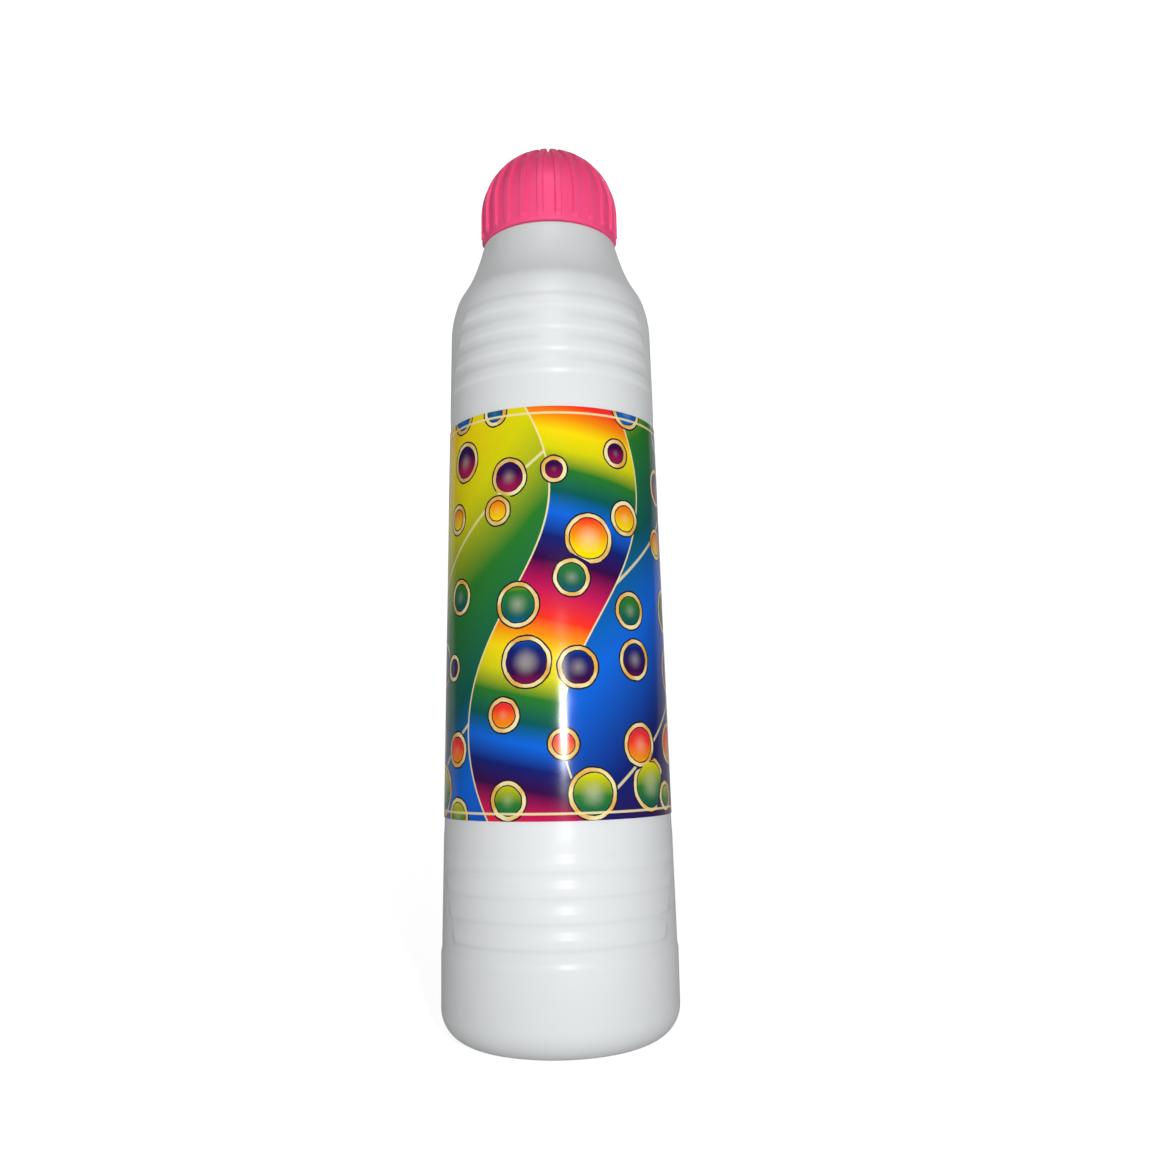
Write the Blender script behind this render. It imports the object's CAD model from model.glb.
import math

import bmesh
import bpy
from mathutils import Matrix, Vector, noise


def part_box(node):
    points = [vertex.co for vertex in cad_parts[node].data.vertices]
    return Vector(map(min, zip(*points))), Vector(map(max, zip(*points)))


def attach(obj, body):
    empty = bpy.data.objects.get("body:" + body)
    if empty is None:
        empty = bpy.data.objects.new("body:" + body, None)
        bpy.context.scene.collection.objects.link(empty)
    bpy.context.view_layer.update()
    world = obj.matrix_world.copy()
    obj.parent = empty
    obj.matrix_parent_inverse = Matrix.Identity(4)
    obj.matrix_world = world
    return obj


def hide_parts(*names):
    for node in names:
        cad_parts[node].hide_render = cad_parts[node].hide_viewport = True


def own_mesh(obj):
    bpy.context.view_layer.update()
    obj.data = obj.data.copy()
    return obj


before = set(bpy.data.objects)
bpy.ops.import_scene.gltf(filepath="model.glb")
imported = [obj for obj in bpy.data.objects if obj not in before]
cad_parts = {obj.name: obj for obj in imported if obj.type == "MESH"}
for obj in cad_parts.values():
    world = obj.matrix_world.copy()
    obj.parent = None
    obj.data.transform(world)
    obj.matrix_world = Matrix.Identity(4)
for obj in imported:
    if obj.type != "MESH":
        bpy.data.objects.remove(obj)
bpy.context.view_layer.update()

# BOTTLE. White polyethylene, blown in a two-part mould, so fine parting lines run
# up both sides. Two groups of four raised rings stiffen front and back and give the
# hand a grip, and the label lies in a shallow panel between the groups.
bottle_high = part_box("bottle")[1]
label_low, label_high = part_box("label")
heel_r = bottle_high.x
mouth_z = bottle_high.z
wall = 0.001
heel_round = 0.005
heel_top_z = 0.0133
heel_step = 0.00017
step_top_z = 0.0145
low_rings_z = 0.0154
foot_in_r = 0.0124
push_up = 0.0016
shoulder_r = 0.01735
shoulder_z = 0.1154
shoulder_round = 0.0178
shoulder_slope = 22.5
shoulder_edge = 0.0004
ring_count = 4
ring_pitch = 0.00367
ring_width = 0.0028
ring_flank_up = 0.001
ring_flank_low = 0.0006
ring_proud = 0.00026
ring_fade = 0.08
ring_soft = 0.0002
ring_end = 0.0015
rings_h = ring_count * ring_pitch
ring_overlap = 0.00315
top_rings_z = shoulder_z + ring_overlap - rings_h
strip_near = 0.0099
strip_far = 0.0203
panel_depth = 0.00009
panel_ramp = 0.003
panel_margin = 0.0006
panel_low_z = label_low.z - panel_margin - panel_ramp
panel_top_z = label_high.z + panel_margin + panel_ramp
rim_r = 0.0117
rim_drop = 0.006
rim_z = mouth_z - rim_drop
rim_round = 0.0006
foot_slope = 34.5
neck_slope = 15
neck_pull = 0.36
finish_r = 0.0097
bore_r = 0.0084
ledge = 0.0014
mouth_bevel = 0.0003
parting_height = 0.00005
parting_width = 0.00018


def spread(first, last, count):
    """Evenly spaced values from first to last, both included."""
    return [first + (last - first) * i / count for i in range(count + 1)]


def arc(middle_r, middle_z, radius, first, last, count):
    """Points of (radius, height) on an arc, by its angles in degrees."""
    turns = [math.radians(a) for a in spread(first, last, count)]
    return [(middle_r + radius * math.cos(a), middle_z + radius * math.sin(a)) for a in turns]


def ease(share):
    """A soft step from 0 to 1."""
    return (1 - math.cos(math.pi * min(max(share, 0), 1))) / 2


def ring_step(z):
    """Height of the plain rings at height z: flat tops, steeper below, each ring lower than the last."""
    for start in (low_rings_z, top_rings_z):
        if start <= z <= start + rings_h:
            off = (z - start) % ring_pitch - ring_pitch / 2
            flank = (ring_width / 2 - abs(off)) / (ring_flank_up if off > 0 else ring_flank_low)
            return ring_proud * (1 - ring_fade * int((z - start) / ring_pitch)) * min(max(flank, 0), 1)
    return 0


def ring_lift(z):
    """Height of the rings at height z, with their edges softened as blown plastic is."""
    return sum(ring_step(z + step) for step in spread(-ring_soft, ring_soft, 6)) / 7


def strip_half(z):
    """Half the width of the plain strip at the sides, which widens away from the label."""
    away = max(low_rings_z + rings_h - z, z - top_rings_z)
    return (strip_near + (strip_far - strip_near) * away / rings_h) / 2


def wall_r(z, inset):
    """Radius of the plain wall from the heel up to the shoulder, inset from its outside."""
    if z <= step_top_z:
        return heel_r - inset - heel_step * ease((z - heel_top_z) / (step_top_z - heel_top_z))
    if z > shoulder_z:
        return shoulder_r - shoulder_round + math.sqrt((shoulder_round - inset) ** 2 - (z - shoulder_z) ** 2)
    taper = (z - step_top_z) / (shoulder_z - step_top_z)
    panel = panel_depth * ease((z - panel_low_z) / panel_ramp) * ease((panel_top_z - z) / panel_ramp)
    return heel_r - heel_step + (shoulder_r - heel_r + heel_step) * taper - inset - panel


def neck_curve(first, last, count):
    """A smooth line from the neck's foot at first to the rim's slope at last."""
    reach = neck_pull * math.dist(first, last)
    lean_low, lean_top = math.radians(foot_slope), math.radians(neck_slope)
    low_pull = (first[0] - reach * math.sin(lean_low), first[1] + reach * math.cos(lean_low))
    top_pull = (last[0] + reach * math.sin(lean_top), last[1] - reach * math.cos(lean_top))
    return [
        tuple(
            (1 - t) ** 3 * a + 3 * (1 - t) ** 2 * t * b + 3 * (1 - t) * t * t * c + t ** 3 * d
            for a, b, c, d in zip(first, low_pull, top_pull, last)
        )
        for t in spread(0, 1, count)
    ]


def bottle_side(inset, fineness):
    """One face of the wall from the middle of the base to the end of the shoulder."""
    base = [(r, inset + push_up * (1 - (r / foot_in_r) ** 2)) for r in spread(0, foot_in_r, 10)]
    heel = arc(heel_r - heel_round, heel_round, heel_round - inset, -90, 0, 14)
    heights = spread(heel_top_z, step_top_z, 8)
    heights += spread(low_rings_z, low_rings_z + rings_h, ring_count * fineness)
    heights += spread(panel_low_z, panel_low_z + panel_ramp, 6)
    heights += spread(panel_low_z + panel_ramp, panel_top_z - panel_ramp, 12)[1:]
    heights += spread(panel_top_z - panel_ramp, panel_top_z, 6)[1:]
    heights += spread(top_rings_z, top_rings_z + rings_h, ring_count * fineness)
    lift = math.degrees(math.asin((heights[-1] - shoulder_z) / (shoulder_round - inset)))
    shoulder = arc(shoulder_r - shoulder_round, shoulder_z, shoulder_round - inset, lift, shoulder_slope, 10)
    return base + heel + [(wall_r(z, inset), z) for z in heights] + shoulder[1:]


def rounded(line, at, reach):
    """Round the corner of a line at point number at, over reach to both sides."""
    low = max(i for i in range(at) if math.dist(line[i], line[at]) >= reach)
    high = min(i for i in range(at, len(line)) if math.dist(line[i], line[at]) >= reach)
    bend = [
        tuple((1 - t) ** 2 * a + 2 * t * (1 - t) * b + t * t * c for a, b, c in zip(line[low], line[at], line[high]))
        for t in spread(0, 1, 8)
    ]
    return line[:low] + bend + line[high + 1:]


def turned(name, outline, angles, shift):
    """Revolve (radius, height) points round the upright axis; shift(i, angle) moves point i out and up.
    An outline that starts off the axis is joined up from its last point to its first."""
    shell = bmesh.new()
    rows = []
    for i, (r, z) in enumerate(outline):
        row = []
        for angle in angles if r > 0 else angles[:1]:
            out, up = shift(i, angle)
            row.append(shell.verts.new(((r + out) * math.cos(angle), (r + out) * math.sin(angle), z + up)))
        rows.append(row)
    strips = list(zip(rows, rows[1:])) + ([(rows[-1], rows[0])] if outline[0][0] > 0 else [])
    for low, high in strips:
        for i in range(len(angles) if len(low) + len(high) > 2 else 0):
            j = (i + 1) % len(angles)
            if len(low) == 1:
                shell.faces.new((low[0], high[j], high[i]))
            elif len(high) == 1:
                shell.faces.new((low[i], low[j], high[0]))
            else:
                shell.faces.new((low[i], low[j], high[j], high[i]))
    return finished(name, shell)


def finished(name, shell, sharp=40):
    """Turn a bmesh into a smooth-shaded object, with edges sharper than sharp degrees kept."""
    mesh = bpy.data.meshes.new(name)
    shell.to_mesh(mesh)
    shell.free()
    mesh.shade_smooth()
    mesh.set_sharp_from_angle(angle=math.radians(sharp))
    piece = bpy.data.objects.new(name, mesh)
    bpy.context.scene.collection.objects.link(piece)
    return piece


outside = bottle_side(0, 24)
shoulder_top = len(outside) - 1
rim_middle = (rim_r - rim_round * math.cos(math.radians(neck_slope)), rim_z - rim_round)
rim = arc(*rim_middle, rim_round, neck_slope, 90, 8)
outside += neck_curve(outside[-1], rim[0], 32)[1:] + rim[1:]
outside = rounded(outside, shoulder_top, shoulder_edge)
mouth = [
    (finish_r, rim_z), (finish_r, mouth_z - mouth_bevel), (finish_r - mouth_bevel, mouth_z),
    (bore_r + mouth_bevel, mouth_z), (bore_r, mouth_z - mouth_bevel), (bore_r, rim_z - ledge),
]
inside = bottle_side(wall, 2)
inside += neck_curve(inside[-1], (rim_r - wall, rim_z - ledge), 10)[1:]
side_turns = [0.002, 0.004, 0.007, 0.011, 0.017]
side_turns += [math.radians(a) for a in spread(0, 13, 6) + spread(14, 36, 44) + spread(37.5, 90, 24)]
bottle_angles = sorted({
    round(turn % (2 * math.pi), 9)
    for side in side_turns for turn in (side, math.pi - side, math.pi + side, -side)
})
ring_lifts = [ring_lift(z) if r > foot_in_r else 0 for r, z in outside]


def wall_relief(i, angle):
    """The rings, which run out at the side strips, and the fine ridges where the mould's halves met."""
    if not 10 < i < len(outside):
        return 0, 0
    r, z = outside[i]
    beside = r * abs(math.sin(angle))
    ring = ring_lifts[i] * ease((beside - strip_half(z)) / ring_end + 0.5)
    return ring + parting_height * math.exp(-(beside / parting_width) ** 2), 0


bottle = turned("bottle_wall", outside + mouth + inside[::-1], bottle_angles, wall_relief)
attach(bottle, "bottle")
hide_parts("bottle")


def add(tree, kind, inputs=None, **options):
    """Add a shader node; an input given as a socket is linked, any other value is set."""
    made = tree.nodes.new("ShaderNode" + kind)
    for option, value in options.items():
        setattr(made, option, value)
    for socket, value in (inputs or {}).items():
        if isinstance(value, bpy.types.NodeSocket):
            tree.links.new(value, made.inputs[socket])
        else:
            made.inputs[socket].default_value = value
    return made


def calc(tree, operation, *values):
    """A Math node on two or three values or sockets."""
    return add(tree, "Math", dict(enumerate(values)), operation=operation).outputs[0]


def mixed(tree, share, first, second, way="MIX"):
    """A Mix node between two colours."""
    return add(tree, "Mix", {0: share, 6: first, 7: second}, data_type="RGBA", blend_type=way).outputs[2]


def between(tree, value, low, high, first=0.0, last=1.0):
    """Map a value smoothly from low..high to first..last."""
    inputs = {"Value": value, "From Min": low, "From Max": high, "To Min": first, "To Max": last}
    return add(tree, "MapRange", inputs, interpolation_type="SMOOTHSTEP").outputs["Result"]


def speckle(tree, place, scale, detail=2.0):
    """Noise at a scale in features per metre."""
    return add(tree, "TexNoise", {"Vector": place, "Scale": scale, "Detail": detail}).outputs["Fac"]


def shader_group(name, inputs, outputs):
    """An empty node group with named sockets, and its input and output nodes."""
    group = bpy.data.node_groups.new(name, "ShaderNodeTree")
    for title, kind, value in inputs:
        group.interface.new_socket(name=title, in_out="INPUT", socket_type=kind).default_value = value
    for title, kind in outputs:
        group.interface.new_socket(name=title, in_out="OUTPUT", socket_type=kind)
    return group, group.nodes.new("NodeGroupInput").outputs, group.nodes.new("NodeGroupOutput").inputs


moulded_skin, skin_in, skin_out = shader_group(
    "moulded_skin",
    [
        ("Colour", "NodeSocketColor", (0.8, 0.8, 0.8, 1)), ("Shade", "NodeSocketFloat", 0.04),
        ("Roughness", "NodeSocketFloat", 0.4), ("Scuffs", "NodeSocketFloat", 0.1),
        ("Grain", "NodeSocketFloat", 2500.0),
    ],
    [("Colour", "NodeSocketColor"), ("Roughness", "NodeSocketFloat"), ("Height", "NodeSocketFloat")],
)
skin_place = add(moulded_skin, "TexCoord").outputs["Object"]
skin_cloud = calc(moulded_skin, "SUBTRACT", speckle(moulded_skin, skin_place, 70, 3), 0.5)
skin_grain = speckle(moulded_skin, skin_place, skin_in["Grain"])
scuff_place = add(moulded_skin, "Mapping", {"Vector": skin_place, "Scale": (1, 1, 0.08)}).outputs[0]
skin_scuff = between(moulded_skin, speckle(moulded_skin, scuff_place, 1500, 3), 0.6, 0.72)
skin_patch = between(moulded_skin, speckle(moulded_skin, skin_place, 55, 2), 0.45, 0.65)
skin_scuff = calc(moulded_skin, "MULTIPLY", calc(moulded_skin, "MULTIPLY", skin_scuff, skin_patch), skin_in["Scuffs"])
skin_tone = calc(moulded_skin, "MULTIPLY_ADD", skin_cloud, skin_in["Shade"], 1.0)
skin_tint = add(moulded_skin, "CombineColor", {0: skin_tone, 1: skin_tone, 2: skin_tone}).outputs[0]
skin_links = {
    skin_out["Colour"]: mixed(moulded_skin, 1.0, skin_in["Colour"], skin_tint, "MULTIPLY"),
    skin_out["Roughness"]: calc(
        moulded_skin, "ADD", calc(moulded_skin, "MULTIPLY_ADD", skin_cloud, 0.12, skin_in["Roughness"]), skin_scuff
    ),
    skin_out["Height"]: calc(moulded_skin, "SUBTRACT", skin_grain, skin_scuff),
}
for socket, value in skin_links.items():
    moulded_skin.links.new(value, socket)


def moulded(name, colour, roughness, grain=2500.0, shade=0.06, scuffs=0.12, relief=0.00001):
    """A moulded material on the shared skin: tone, gloss and grain vary over it."""
    made = bpy.data.materials.new(name)
    made.use_nodes = True
    tree = made.node_tree
    skin = add(tree, "Group", node_tree=moulded_skin)
    values = {"Colour": (*colour, 1), "Shade": shade, "Roughness": roughness, "Scuffs": scuffs, "Grain": grain}
    for socket, value in values.items():
        skin.inputs[socket].default_value = value
    shader = tree.nodes["Principled BSDF"]
    bump = add(tree, "Bump", {"Height": skin.outputs["Height"], "Distance": relief, "Strength": 1.0})
    tree.links.new(skin.outputs["Colour"], shader.inputs["Base Color"])
    tree.links.new(skin.outputs["Roughness"], shader.inputs["Roughness"])
    tree.links.new(bump.outputs["Normal"], shader.inputs["Normal"])
    return made, shader


bottle_white, bottle_shader = moulded(
    "bottle_white", (0.757, 0.778, 0.784), 0.32, grain=900.0, scuffs=0.02, relief=0.000005
)
bottle_shader.inputs["Specular IOR Level"].default_value = 0.22
bottle_shader.inputs["Subsurface Weight"].default_value = 0.2
bottle_shader.inputs["Subsurface Radius"].default_value = (0.9, 0.9, 0.85)
bottle_shader.inputs["Subsurface Scale"].default_value = 0.0015
bottle.data.materials.append(bottle_white)

# NECK THREAD. One and a half turns of rounded thread for the cap, blown with the
# bottle and faded out at both ends where the mould tool runs out.
thread_turns = 1.5
thread_pitch = 0.0024
thread_gap = 0.00125
thread_low_z = rim_z + thread_gap
thread_root = 0.0016
thread_crest = 0.0006
thread_height = 0.0007
thread_steps = 150
thread_fades = 12
thread_sink_share = 0.15
thread_round_share = 0.2
thread_flat_share = 0.7


def swept(name, rings):
    """Join rings of points into a closed tube with flat ends."""
    shell = bmesh.new()
    rows = [[shell.verts.new(point) for point in ring] for ring in rings]
    count = len(rows[0])
    for low, high in zip(rows, rows[1:]):
        for i in range(count):
            j = (i + 1) % count
            shell.faces.new((low[i], low[j], high[j], high[i]))
    shell.faces.new(rows[0][::-1])
    shell.faces.new(rows[-1])
    bmesh.ops.recalc_face_normals(shell, faces=shell.faces)
    return finished(name, shell)


def thread_rings(root_r, low_z, height, start):
    """Cross-sections along a helix; a negative height makes the thread of a nut."""
    rings = []
    for share in spread(0, 1, thread_steps):
        angle = start + 2 * math.pi * thread_turns * share
        middle_z = low_z + thread_pitch * thread_turns * share
        fade = ease(share * thread_fades) * ease((1 - share) * thread_fades)
        crest_r = root_r + height * fade
        sunk_r = root_r - thread_sink_share * height
        half_root, half_crest = thread_root / 2, thread_crest / 2
        edge_r = crest_r - thread_round_share * height * fade
        half_edge = half_crest + thread_round_share * (half_root - half_crest)
        half_flat = thread_flat_share * half_crest
        section = [
            (sunk_r, -half_root), (edge_r, -half_edge), (crest_r, -half_flat),
            (crest_r, half_flat), (edge_r, half_edge), (sunk_r, half_root),
        ]
        rings.append([(r * math.cos(angle), r * math.sin(angle), middle_z + up) for r, up in section])
    return rings


neck_thread = swept("neck_thread", thread_rings(finish_r, thread_low_z, thread_height, 0.0))
neck_thread.data.materials.append(bottle_white)
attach(neck_thread, "bottle")

# BASE WELD. The line across the pushed-up base where the mould pinched the hot
# tube shut, a low bar with rounded ends that stays clear of the table.
weld_length = 0.019
weld_width = 0.0011
weld_height = 0.0003
round_angles = [2 * math.pi * i / 12 for i in range(12)]
weld_rings = []
for share in spread(-1, 1, 28):
    along = share * weld_length / 2
    full = math.sqrt(max(1 - share ** 6, 0.02))
    skin_z = push_up * (1 - (along / foot_in_r) ** 2)
    weld_rings.append([
        (along, weld_width / 2 * full * math.cos(a), skin_z + weld_height * full * math.sin(a))
        for a in round_angles
    ])
base_weld = swept("base_weld", weld_rings)
base_weld.data.materials.append(bottle_white)
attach(base_weld, "bottle")

# LABEL. Glossy printed film, glued round the panel with a narrow gap at the back.
# The print is a slanting run of rainbow colours with a waving ribbon down the front,
# under scattered round dab marks with gold rims.
film = 0.0001
glue = 0.00003
seam_gap = 0.0012
label_h = label_high.z - label_low.z
label_r = label_high.x
label_rings = []
seam_half = seam_gap / 2 / label_r
for angle in spread(math.pi / 2 + seam_half, math.pi * 5 / 2 - seam_half, 180):
    heights = spread(label_low.z, label_high.z, 20)
    ring = [(wall_r(z, 0) + glue + film, z) for z in heights]
    ring += [(wall_r(z, 0) + glue, z) for z in reversed(heights)]
    label_rings.append([(r * math.cos(angle), r * math.sin(angle), z) for r, z in ring])
label = swept("label_film", label_rings)
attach(label, "bottle")
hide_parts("label")

label_print = bpy.data.materials.new("label_print")
label_print.use_nodes = True
print_tree = label_print.node_tree
print_xyz = add(print_tree, "SeparateXYZ", {0: add(print_tree, "TexCoord").outputs["Object"]}).outputs
print_turn = calc(print_tree, "ARCTAN2", print_xyz[0], calc(print_tree, "MULTIPLY", print_xyz[1], -1.0))
print_across = calc(print_tree, "MULTIPLY", print_turn, label_r)
print_up = calc(print_tree, "SUBTRACT", print_xyz[2], label_low.z)
print_flat = add(print_tree, "CombineXYZ", {0: print_across, 1: print_up}).outputs[0]

rainbow_stops = [
    (0.00, (0.95, 0.03, 0.01)), (0.07, (0.95, 0.28, 0.0)), (0.15, (0.97, 0.74, 0.0)),
    (0.24, (0.72, 0.68, 0.0)), (0.34, (0.02, 0.20, 0.02)), (0.45, (0.0, 0.10, 0.09)),
    (0.55, (0.0, 0.13, 0.72)), (0.66, (0.003, 0.012, 0.16)), (0.76, (0.035, 0.0, 0.06)),
    (0.88, (0.55, 0.005, 0.09)), (1.00, (0.95, 0.03, 0.01)),
]


def rainbow(place):
    """The label's run of colours, repeated for each whole step of place."""
    ramp = add(print_tree, "ValToRGB", {"Fac": calc(print_tree, "FRACT", place)})
    while len(ramp.color_ramp.elements) < len(rainbow_stops):
        ramp.color_ramp.elements.new(0.5)
    for stop, (at, colour) in zip(ramp.color_ramp.elements, rainbow_stops):
        stop.position = at
        stop.color = (*colour, 1)
    return ramp.outputs["Color"]


print_drop = calc(print_tree, "MULTIPLY_ADD", print_up, -1 / label_h, 1.0)
print_sway = calc(print_tree, "SUBTRACT", speckle(print_tree, print_flat, 30, 1), 0.5)
slant_drop = calc(print_tree, "MULTIPLY_ADD", print_drop, 0.42, 0.24)
slant_turn = calc(print_tree, "MULTIPLY_ADD", print_turn, 0.1, slant_drop)
slant = calc(print_tree, "MULTIPLY_ADD", print_sway, 0.1, slant_turn)
print_colour = rainbow(slant)

stripe_at = calc(print_tree, "FRACT", calc(print_tree, "MULTIPLY_ADD", slant_turn, 5.0, 0.1))
stripe_off = calc(print_tree, "ABSOLUTE", calc(print_tree, "SUBTRACT", stripe_at, 0.5))
stripe_mask = between(print_tree, stripe_off, 0.007, 0.013, 0.75, 0.0)
pale_gold = (0.92, 0.80, 0.42, 1)
print_colour = mixed(print_tree, stripe_mask, print_colour, pale_gold)

ribbon_half = 0.0082
ribbon_sway = 0.0075
ribbon_line_half = 0.0001
rainbow_runs = 1.9
ribbon_turn = calc(print_tree, "SINE", calc(print_tree, "MULTIPLY_ADD", print_drop, 1.7 * math.pi, 0.5))
ribbon_at = calc(print_tree, "MULTIPLY_ADD", ribbon_turn, -ribbon_sway, print_across)
ribbon_edge = calc(print_tree, "SUBTRACT", calc(print_tree, "ABSOLUTE", ribbon_at), ribbon_half)
ribbon_mask = between(print_tree, ribbon_edge, -ribbon_line_half, ribbon_line_half, 1.0, 0.0)
ribbon_off = calc(print_tree, "ABSOLUTE", ribbon_edge)
ribbon_line = between(print_tree, ribbon_off, ribbon_line_half, ribbon_line_half * 2, 0.9, 0.0)
ribbon_drop = calc(print_tree, "MULTIPLY", print_drop, rainbow_runs)
ribbon_run = calc(print_tree, "MULTIPLY_ADD", ribbon_at, -6.0, ribbon_drop)
print_colour = mixed(print_tree, ribbon_mask, print_colour, rainbow(ribbon_run))
print_colour = mixed(print_tree, ribbon_line, print_colour, pale_gold)

dab_pitch = 0.0104
dab_cells = add(
    print_tree, "TexVoronoi", {"Vector": print_flat, "Scale": 1 / dab_pitch, "Randomness": 0.6},
    voronoi_dimensions="2D",
)
dab_random = add(print_tree, "SeparateColor", {0: dab_cells.outputs["Color"]}).outputs
dab_rough = calc(print_tree, "SUBTRACT", speckle(print_tree, print_flat, 700, 2), 0.5)
dab_reach = calc(print_tree, "MULTIPLY_ADD", dab_rough, 0.03, dab_cells.outputs["Distance"])
dab_size = calc(print_tree, "MULTIPLY_ADD", dab_random[0], 0.2, 0.19)
dab_edge = calc(print_tree, "SUBTRACT", dab_reach, dab_size)
dab_line = between(print_tree, dab_edge, 0.028, 0.036, 1.0, 0.0)
dab_rim = between(print_tree, dab_edge, 0.003, 0.011, 1.0, 0.0)
dab_line_in = between(print_tree, dab_edge, -0.052, -0.044, 1.0, 0.0)
dab_face = between(print_tree, dab_edge, -0.070, -0.062, 1.0, 0.0)
dab_offset = calc(print_tree, "MULTIPLY_ADD", dab_random[1], 0.2, 0.42)
dab_run = calc(print_tree, "MULTIPLY_ADD", print_drop, rainbow_runs, dab_offset)
dab_colour = rainbow(dab_run)
dab_shine = between(print_tree, dab_edge, -0.36, -0.12, 0.3, 0.0)
dab_colour = mixed(print_tree, dab_shine, dab_colour, (0.95, 0.88, 0.66, 1))
rim_tone = between(print_tree, speckle(print_tree, print_flat, 260, 1), 0.35, 0.65)
rim_gold = mixed(print_tree, rim_tone, (0.78, 0.42, 0.07, 1), pale_gold)
ink_dark = (0.012, 0.008, 0.02, 1)
for share, colour in ((dab_line, ink_dark), (dab_rim, rim_gold), (dab_line_in, ink_dark), (dab_face, dab_colour)):
    print_colour = mixed(print_tree, share, print_colour, colour)

rule_inset = 0.0011
rule_width = 0.00012
edge_near = calc(print_tree, "MINIMUM", print_up, calc(print_tree, "SUBTRACT", label_h, print_up))
rule_off = calc(print_tree, "ABSOLUTE", calc(print_tree, "SUBTRACT", edge_near, rule_inset))
rule_mask = between(print_tree, rule_off, rule_width, rule_width * 2, 0.85, 0.0)
print_colour = mixed(print_tree, rule_mask, print_colour, pale_gold)
print_grain = between(print_tree, speckle(print_tree, print_flat, 5200, 1), 0.3, 0.7, 0.9, 1.0)
print_tint = add(print_tree, "CombineColor", {0: print_grain, 1: print_grain, 2: print_grain}).outputs[0]
print_colour = mixed(print_tree, 1.0, print_colour, print_tint, "MULTIPLY")

film_waves = speckle(print_tree, print_flat, 120, 2)
film_peel = calc(print_tree, "MULTIPLY_ADD", speckle(print_tree, print_flat, 2600, 1), 0.035, film_waves)
film_smudge = between(print_tree, speckle(print_tree, print_flat, 160, 4), 0.4, 0.7, 0.15, 0.21)
film_bump = add(print_tree, "Bump", {"Height": film_peel, "Distance": 0.00004, "Strength": 1.0})
print_shader = print_tree.nodes["Principled BSDF"]
print_shader.inputs["Specular IOR Level"].default_value = 0.24
print_tree.links.new(print_colour, print_shader.inputs["Base Color"])
print_tree.links.new(film_smudge, print_shader.inputs["Roughness"])
print_tree.links.new(film_bump.outputs["Normal"], print_shader.inputs["Normal"])
label.data.materials.append(label_print)

# INK. Bright pink water-based ink, about seven eighths of the bottle's content,
# seen only where the bottle is cut open.
ink_pink, ink_shader = moulded("ink_pink", (0.62, 0.012, 0.12), 0.08, grain=200.0, scuffs=0.0)
ink_shader.inputs["IOR"].default_value = 1.34


def dress(node, finish):
    """Give a CAD node that stays its material."""
    solid = bpy.data.objects[node]
    solid.data.materials.clear()
    solid.data.materials.append(finish)


dress("ink_charge", ink_pink)

# FITMENT AND COVER RING. Two moulded polyethylene pieces: the plug pressed into
# the neck, and the ring snapped over its collar to clamp the tip's cloth.
fitment_white, fitment_shader = moulded("fitment_white", (0.8, 0.8, 0.77), 0.42, grain=1600.0)
fitment_shader.inputs["Subsurface Weight"].default_value = 0.15
fitment_shader.inputs["Subsurface Scale"].default_value = 0.001
dress("fitment", fitment_white)
dress("cover_ring", fitment_white)

# VALVE. Acetal stem, pusher plate and spring cage, with a rubber ring that seals
# the poppet on its seat until the tip is pressed.
valve_plastic = moulded("valve_plastic", (0.74, 0.74, 0.71), 0.36, grain=1900.0)[0]
gasket_rubber = moulded("gasket_rubber", (0.025, 0.025, 0.026), 0.6, grain=3600.0, scuffs=0.2)[0]
for node in ("valve_stem", "pusher_plate", "valve_cage"):
    dress(node, valve_plastic)
dress("valve_gasket", gasket_rubber)

# VALVE SPRING. Drawn stainless wire wound in five open turns, which pushes the
# poppet shut and shortens with the tip's travel.
spring_low, spring_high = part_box("valve_spring")
wire_r = 0.00025
coil_r = (spring_high.x - spring_low.x) / 2 - wire_r
coil_turns = 5
spring_rings = []
for share in spread(0, 1, coil_turns * 36):
    angle = 2 * math.pi * coil_turns * share
    middle_z = spring_low.z + wire_r + (spring_high.z - spring_low.z - 2 * wire_r) * share
    spring_rings.append([
        (
            (coil_r + wire_r * math.cos(a)) * math.cos(angle),
            (coil_r + wire_r * math.cos(a)) * math.sin(angle),
            middle_z + wire_r * math.sin(a),
        )
        for a in round_angles
    ])
spring = swept("spring_wire", spring_rings)
spring_steel, spring_shader = moulded("spring_steel", (0.58, 0.58, 0.57), 0.24, grain=6000.0, relief=0.000004)
spring_shader.inputs["Metallic"].default_value = 1.0
spring.data.materials.append(spring_steel)
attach(spring, "bottle")
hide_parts("valve_spring")
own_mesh(spring)

# FOAM. Open-cell foam dome of the tip, cut from sheet and stained by the ink. It
# stands on the pusher plate and goes down with the valve.
foam_low, foam_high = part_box("foam_pad")
foam_r = foam_high.x
foam_side = 0.0023
foam_dome = foam_high.z - foam_low.z - foam_side
foam_edge = 0.0004
cell_size = 0.0007
cell_depth = 0.00012
foam_outline = [(r, foam_low.z) for r in spread(0, foam_r - foam_edge, 10)]
foam_outline += arc(foam_r - foam_edge, foam_low.z + foam_edge, foam_edge, -90, 0, 5)[1:]
foam_outline += [(foam_r, z) for z in spread(foam_low.z + foam_edge, foam_low.z + foam_side, 7)[1:]]
foam_outline += [
    (foam_r * math.cos(a), foam_low.z + foam_side + foam_dome * math.sin(a))
    for a in spread(0, math.pi / 2, 36)[1:-1]
] + [(0, foam_high.z - cell_depth)]


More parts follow.
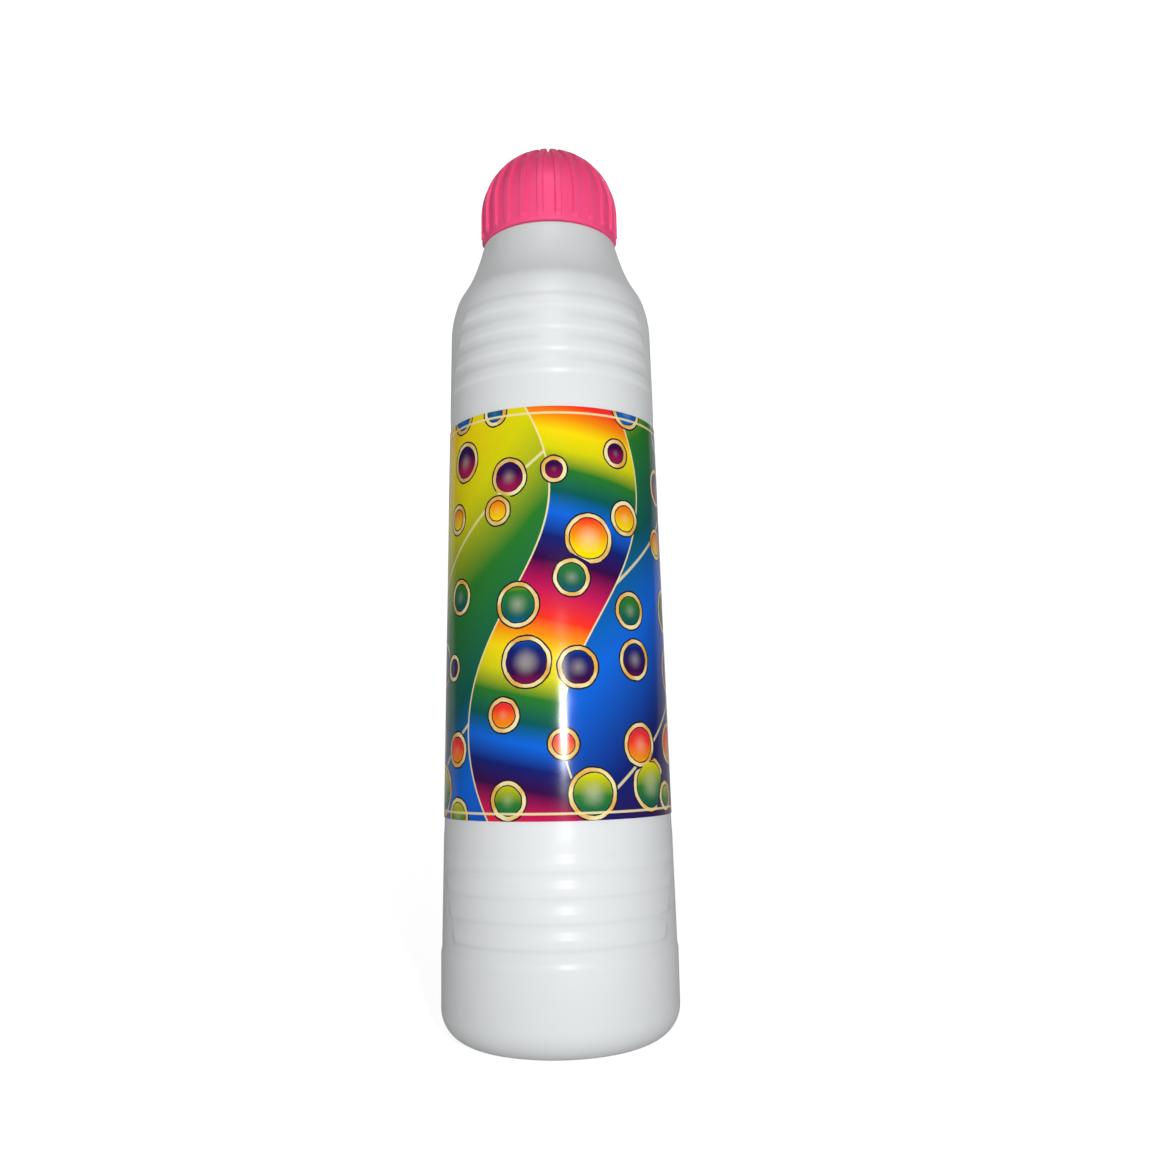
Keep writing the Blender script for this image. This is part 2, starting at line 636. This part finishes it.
def foam_cells(i, angle):
    """The uneven face of cut foam, which only goes inwards from its true size."""
    r, z = foam_outline[i]
    place = Vector((r * math.cos(angle), r * math.sin(angle), z)) / cell_size
    depth = cell_depth * (0.5 + 0.5 * noise.noise(place))
    return (-depth, 0) if i > 12 else (0, 0)


foam = turned("foam_dome", foam_outline, spread(0, 2 * math.pi, 120)[:-1], foam_cells)
tip_foam = bpy.data.materials.new("tip_foam")
tip_foam.use_nodes = True
foam_tree = tip_foam.node_tree
foam_place = add(foam_tree, "TexCoord").outputs["Object"]
foam_holes = add(foam_tree, "TexVoronoi", {"Vector": foam_place, "Scale": 2600.0}, feature="DISTANCE_TO_EDGE")
foam_open = between(foam_tree, foam_holes.outputs["Distance"], 0.05, 0.32)
foam_stain = between(foam_tree, speckle(foam_tree, foam_place, 260, 3), 0.35, 0.65)
foam_ground = mixed(foam_tree, foam_stain, (0.78, 0.10, 0.22, 1), (0.86, 0.24, 0.36, 1))
foam_colour = mixed(foam_tree, foam_open, foam_ground, (0.36, 0.01, 0.07, 1))
foam_bump = add(
    foam_tree, "Bump", {"Height": foam_holes.outputs["Distance"], "Distance": 0.0002, "Strength": 1.0}, invert=True
)
foam_shader = foam_tree.nodes["Principled BSDF"]
foam_tree.links.new(foam_colour, foam_shader.inputs["Base Color"])
foam_tree.links.new(between(foam_tree, foam_stain, 0.0, 1.0, 0.75, 0.95), foam_shader.inputs["Roughness"])
foam_tree.links.new(foam_bump.outputs["Normal"], foam_shader.inputs["Normal"])
foam.data.materials.append(tip_foam)
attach(foam, "valve")
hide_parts("foam_pad")

# TIP COVER. A round of fine knitted cloth, stretched over the foam and clamped on
# the collar by the cover ring, with small gathers where it turns over the edge.
cover_low, cover_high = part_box("tip_cover")
cloth = 0.00035
hem_r = cover_high.x
hem_h = 0.00185
shelf_z = cover_low.z + hem_h
tip_r = 0.0073
tip_rise = 0.0001
tip_dome_z = shelf_z + tip_rise
tip_dome = cover_high.z - tip_dome_z
fold_r = 0.0003
gathers = 36
gather_depth = 0.00005
gather_h = 0.0022
gather_start = 0.0002
gather_soft = 0.0003


def cover_face(inset):
    """One face of the cloth, from the hem up over the collar and the dome."""
    face = [(hem_r - inset, z) for z in spread(cover_low.z, shelf_z - fold_r - inset, 5)]
    face += arc(hem_r - fold_r - inset, shelf_z - fold_r - inset, fold_r, 0, 90, 4)[1:]
    face += [(r, shelf_z - inset) for r in spread(hem_r - fold_r - inset, tip_r - inset, 3)[1:]]
    dome = [
        ((tip_r - inset) * math.cos(a), tip_dome_z - inset + tip_dome * math.sin(a))
        for a in spread(0, math.pi / 2, 40)[1:-1]
    ]
    return face + dome + [(0, tip_dome_z - inset + tip_dome)]


cover_outline = cover_face(0) + cover_face(cloth)[::-1]


def cloth_gathers(i, angle):
    """Small pleats on the dome just above the collar, which only go inwards."""
    r, z = cover_outline[i]
    up = z - tip_dome_z
    rise = ease((up + gather_start) / gather_soft) * ease((gather_h - up) / gather_h)
    return -gather_depth * rise * (1 + math.cos(gathers * angle)) / 2, 0


cover = turned("tip_cloth_cover", cover_outline, spread(0, 2 * math.pi, 144)[:-1], cloth_gathers)

tip_cloth = bpy.data.materials.new("tip_cloth")
tip_cloth.use_nodes = True
cloth_tree = tip_cloth.node_tree
cloth_xyz = add(cloth_tree, "SeparateXYZ", {0: add(cloth_tree, "TexCoord").outputs["Object"]}).outputs
cloth_square = calc(cloth_tree, "MULTIPLY", cloth_xyz[1], cloth_xyz[1])
cloth_reach = calc(cloth_tree, "SQRT", calc(cloth_tree, "MULTIPLY_ADD", cloth_xyz[0], cloth_xyz[0], cloth_square))
cloth_middle_drop = 0.002
cloth_lift = calc(cloth_tree, "SUBTRACT", cloth_xyz[2], shelf_z - cloth_middle_drop)
cloth_lean = calc(cloth_tree, "ARCTAN2", cloth_reach, cloth_lift)
cloth_run = calc(cloth_tree, "MULTIPLY", cloth_lean, tip_r)
cloth_spread = calc(cloth_tree, "DIVIDE", cloth_run, calc(cloth_tree, "ADD", cloth_reach, 0.00001))
cloth_flat = add(
    cloth_tree, "CombineXYZ",
    {axis: calc(cloth_tree, "MULTIPLY", cloth_xyz[axis], cloth_spread) for axis in (0, 1)},
).outputs[0]
stitch = 0.00042
cloth_fray = add(cloth_tree, "TexNoise", {"Vector": cloth_flat, "Scale": 700.0, "Detail": 2.0}).outputs["Color"]
yarn_sway = 0.00016
cloth_sway = add(
    cloth_tree, "VectorMath", {0: cloth_fray, 1: (yarn_sway, yarn_sway, 0.0)}, operation="MULTIPLY"
).outputs[0]
cloth_moved = add(cloth_tree, "VectorMath", {0: cloth_flat, 1: cloth_sway}).outputs[0]
cloth_yarn = add(cloth_tree, "SeparateXYZ", {0: cloth_moved}).outputs
wales = calc(cloth_tree, "SINE", calc(cloth_tree, "MULTIPLY", cloth_yarn[0], 2 * math.pi / stitch))
courses = calc(cloth_tree, "SINE", calc(cloth_tree, "MULTIPLY", cloth_yarn[1], 2 * math.pi / (stitch * 0.8)))
knit_sum = calc(cloth_tree, "ADD", calc(cloth_tree, "ABSOLUTE", wales), calc(cloth_tree, "MULTIPLY", courses, 0.5))
knit = between(cloth_tree, knit_sum, -0.5, 1.5)
cloth_stain = between(cloth_tree, speckle(cloth_tree, cloth_flat, 180, 4), 0.35, 0.68)
cloth_colour = mixed(cloth_tree, cloth_stain, (0.80, 0.07, 0.20, 1), (0.90, 0.24, 0.37, 1))
cloth_shade = mixed(cloth_tree, 1.0, cloth_colour, (0.5, 0.42, 0.45, 1), "MULTIPLY")
cloth_colour = mixed(cloth_tree, knit, cloth_shade, cloth_colour)
cloth_bump = add(cloth_tree, "Bump", {"Height": knit, "Distance": 0.00012, "Strength": 1.0})
cloth_shader = cloth_tree.nodes["Principled BSDF"]
cloth_shader.inputs["Sheen Weight"].default_value = 0.25
cloth_tree.links.new(cloth_colour, cloth_shader.inputs["Base Color"])
cloth_tree.links.new(between(cloth_tree, knit, 0.0, 1.0, 0.92, 0.78), cloth_shader.inputs["Roughness"])
cloth_tree.links.new(cloth_bump.outputs["Normal"], cloth_shader.inputs["Normal"])
cover.data.materials.append(tip_cloth)
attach(cover, "bottle")
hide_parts("tip_cover")
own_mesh(cover)

# CAP LINER. A ring of white polyethylene foam pushed up against the land in the
# cap, which seals on the fitment's flange when the cap is screwed down.
liner_foam = moulded("liner_foam", (0.84, 0.84, 0.81), 0.62, grain=4200.0, relief=0.00004)[0]
dress("cap_liner", liner_foam)

# CAP. Satin pink polypropylene dome with 24 upright ridges for the grip, which
# start above the plain edge and run out short of the smooth crown.
cap_low, cap_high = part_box("cap_shell")
skirt_r = 0.0116
skirt_z = cap_low.z
dome_z = cap_high.z - skirt_r
cap_bore_r = 0.0107
land_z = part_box("cap_liner")[1].z
hollow_r = 0.009889
hollow_z = mouth_z
edge_round = 0.00055
lead_in = 0.00025
ridge_count = 24
ridge_half = 0.0005
ridge_flank = 0.00017
ridge_proud = 0.0005
ridge_gap = 0.0009
ridge_low_z = skirt_z + ridge_gap
ridge_foot = 0.0006
crown_r = 0.0041
crown_fade = 0.0012
gate_r = 0.0011
gate_depth = 0.00022

hollow_lift = math.degrees(math.asin((land_z - hollow_z) / hollow_r))
cap_outline = [(0, hollow_z + hollow_r)]
cap_outline += arc(0, hollow_z, hollow_r, 90, hollow_lift, 20)[1:]
cap_outline += [(cap_bore_r, land_z)]
cap_outline += [(cap_bore_r, z) for z in spread(land_z, skirt_z + lead_in, 5)[1:]]
cap_outline += [(cap_bore_r + lead_in, skirt_z)]
cap_inner_count = len(cap_outline)
cap_outline += arc(skirt_r - edge_round, skirt_z + edge_round, edge_round, -90, 0, 6)
cap_outline += [(skirt_r, z) for z in spread(skirt_z + edge_round, dome_z, 16)[1:]]
cap_outline += arc(0, dome_z, skirt_r, 0, 90, 56)[1:-1] + [(0, cap_high.z - gate_depth)]


def cap_ridges(i, angle):
    """How far the outside stands out for the ridges, or in for the gate mark on the crown."""
    r, z = cap_outline[i]
    if i < cap_inner_count or r == 0:
        return 0, 0
    lean = math.atan2(max(z - dome_z, 0), r)
    pitch = 2 * math.pi / ridge_count
    off = abs((angle + math.pi / 2) % pitch - pitch / 2) * r
    half = min(ridge_half, 0.4 * pitch * r)
    run = ease((z - ridge_low_z) / ridge_foot) * ease((r - crown_r) / crown_fade)
    lift = ridge_proud * run * ease((half + ridge_flank / 2 - off) / ridge_flank)
    lift -= gate_depth * ease((gate_r - r) / gate_r * 1.6)
    return lift * math.cos(lean), lift * math.sin(lean)


ridge_columns = [0, 0.12, 0.2, 0.24, 0.27, 0.3, 0.33, 0.36, 0.4, 0.46, 0.56, 0.7, 0.85]
ridge_columns += [-column for column in ridge_columns[1:]] + [1]
cap_angles = sorted(
    2 * math.pi / ridge_count * (i + 0.5 + column / 2) - math.pi / 2
    for i in range(ridge_count) for column in ridge_columns
)
cap = turned("cap_dome", cap_outline, cap_angles, cap_ridges)
cap_pink, cap_shader = moulded("cap_pink", (1.0, 0.092, 0.262), 0.38, grain=1500.0, shade=0.05, relief=0.000006)
cap_shader.inputs["Specular IOR Level"].default_value = 0.2
cap_shader.inputs["Subsurface Weight"].default_value = 0.12
cap_shader.inputs["Subsurface Radius"].default_value = (1.0, 0.25, 0.35)
cap_shader.inputs["Subsurface Scale"].default_value = 0.0005
cap.data.materials.append(cap_pink)
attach(cap, "cap")
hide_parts("cap_shell")

# CAP THREAD. The matching thread inside the skirt, half a pitch above the neck's,
# so that the flanks meet when the cap is screwed down.
cap_thread = swept("cap_thread", thread_rings(cap_bore_r, thread_low_z + thread_pitch / 2, -thread_height, 0.0))
cap_thread.data.materials.append(cap_pink)
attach(cap_thread, "cap")

# STUDIO. A strip of white paper under and behind the bottle in a room that is dimmer
# above and behind. A small lamp stands beside the lens, and a bright spot high in
# front shows only in reflections. The camera is low and close.
sweep_half = 0.46
sweep_front = 1.6
sweep_back = 0.5
sweep_round = 0.4
sweep_top = 1.6
sweep = bmesh.new()
sweep_line = [(-sweep_front, 0.0), (sweep_back - sweep_round, 0.0)]
sweep_line += arc(sweep_back - sweep_round, sweep_round, sweep_round, -90, 0, 16)[1:]
sweep_line += [(sweep_back, sweep_top)]
sweep_rows = [[sweep.verts.new((x, y, z)) for x in (-sweep_half, sweep_half)] for y, z in sweep_line]
for low, high in zip(sweep_rows, sweep_rows[1:]):
    sweep.faces.new((low[0], low[1], high[1], high[0]))
paper = finished("paper_sweep", sweep, 60)


def seen_ray(tree):
    """1 where the camera or clear material looks at the background, less for a reflection."""
    rays = add(tree, "LightPath").outputs
    mirrored = calc(tree, "MULTIPLY", rays["Is Glossy Ray"], 0.2)
    seen = calc(tree, "MAXIMUM", rays["Is Camera Ray"], mirrored)
    return calc(tree, "MAXIMUM", seen, rays["Is Transmission Ray"])


paper_white = bpy.data.materials.new("paper_white")
paper_white.use_nodes = True
paper_tree = paper_white.node_tree
paper_tree.nodes.clear()
paper_grain = speckle(paper_tree, add(paper_tree, "TexCoord").outputs["Object"], 300)
paper_colour = mixed(paper_tree, paper_grain, (0.62, 0.62, 0.62, 1), (0.66, 0.66, 0.66, 1))
paper_face = add(paper_tree, "BsdfDiffuse", {"Color": paper_colour}).outputs[0]
paper_light = calc(paper_tree, "MULTIPLY", seen_ray(paper_tree), 0.82)
paper_glow = add(paper_tree, "Emission", {"Strength": paper_light}).outputs[0]
paper_sum = add(paper_tree, "AddShader", {0: paper_face, 1: paper_glow}).outputs[0]
add(paper_tree, "OutputMaterial", {"Surface": paper_sum})
paper.data.materials.append(paper_white)

room = bpy.data.worlds.new("room")
room.use_nodes = True
room_tree = room.node_tree
room_light = 0.95
room_top_light = room_light * 0.2
spot_way = (0, -0.743, 0.669)
spot_light = 9.0
room_rays = add(room_tree, "LightPath").outputs
room_look = add(room_tree, "TexCoord").outputs["Generated"]
room_way = add(room_tree, "SeparateXYZ", {0: room_look}).outputs
room_back = between(room_tree, room_way[1], -0.3, 0.5, 1.0, 0.45)
room_above = between(room_tree, room_way[2], 0.0, 0.6, room_light, room_top_light)
room_dim = calc(room_tree, "MULTIPLY", room_above, room_back)
room_mirrored = calc(room_tree, "MULTIPLY_ADD", room_rays["Is Glossy Ray"], -0.75, 1.0)
spot_near = add(room_tree, "VectorMath", {0: room_look, 1: spot_way}, operation="DOT_PRODUCT").outputs["Value"]
spot_face = between(room_tree, spot_near, 0.94, 0.99, 0.0, spot_light)
spot_shine = calc(room_tree, "MULTIPLY", room_rays["Is Glossy Ray"], spot_face)
room_soft = calc(room_tree, "MULTIPLY_ADD", room_dim, room_mirrored, spot_shine)
room_strength = calc(room_tree, "MAXIMUM", room_rays["Is Camera Ray"], room_soft)
room_tree.links.new(room_strength, room_tree.nodes["Background"].inputs["Strength"])
room_tree.nodes["Background"].inputs["Color"].default_value = (1, 1, 1, 1)
bpy.context.scene.world = room

lamp_place = Vector((0.02, -0.186, 0.058))
lamp_aim = Vector((0, 0, 0.075))
lamp = bpy.data.objects.new("soft_lamp", bpy.data.lights.new("soft_lamp", "AREA"))
lamp.data.shape = "DISK"
lamp.data.size = 0.012
lamp.data.energy = 0.205
lamp.location = lamp_place
lamp.rotation_euler = (lamp_aim - lamp_place).to_track_quat("-Z", "Y").to_euler()
bpy.context.scene.collection.objects.link(lamp)

camera_place = Vector((-0.00083, -0.1842, 0.0459))
camera_pitch, camera_yaw, camera_roll = (math.radians(a) for a in (8.715, 1.401, -1.045))
forward = Vector((
    math.sin(camera_yaw) * math.cos(camera_pitch), math.cos(camera_yaw) * math.cos(camera_pitch), math.sin(camera_pitch)
))
level = Vector((math.cos(camera_yaw), -math.sin(camera_yaw), 0))
upright = level.cross(forward)
right = math.cos(camera_roll) * level + math.sin(camera_roll) * upright
top = math.cos(camera_roll) * upright - math.sin(camera_roll) * level
camera = bpy.data.objects.new("camera", bpy.data.cameras.new("camera"))
camera.data.sensor_fit = "HORIZONTAL"
camera.data.sensor_width = 36
camera.data.lens = 34.19
camera.data.clip_start = 0.005
camera.matrix_world = Matrix((right, top, -forward)).transposed().to_4x4()
camera.location = camera_place
bpy.context.scene.collection.objects.link(camera)
bpy.context.scene.camera = camera
bpy.context.scene.view_settings.view_transform = "Standard"
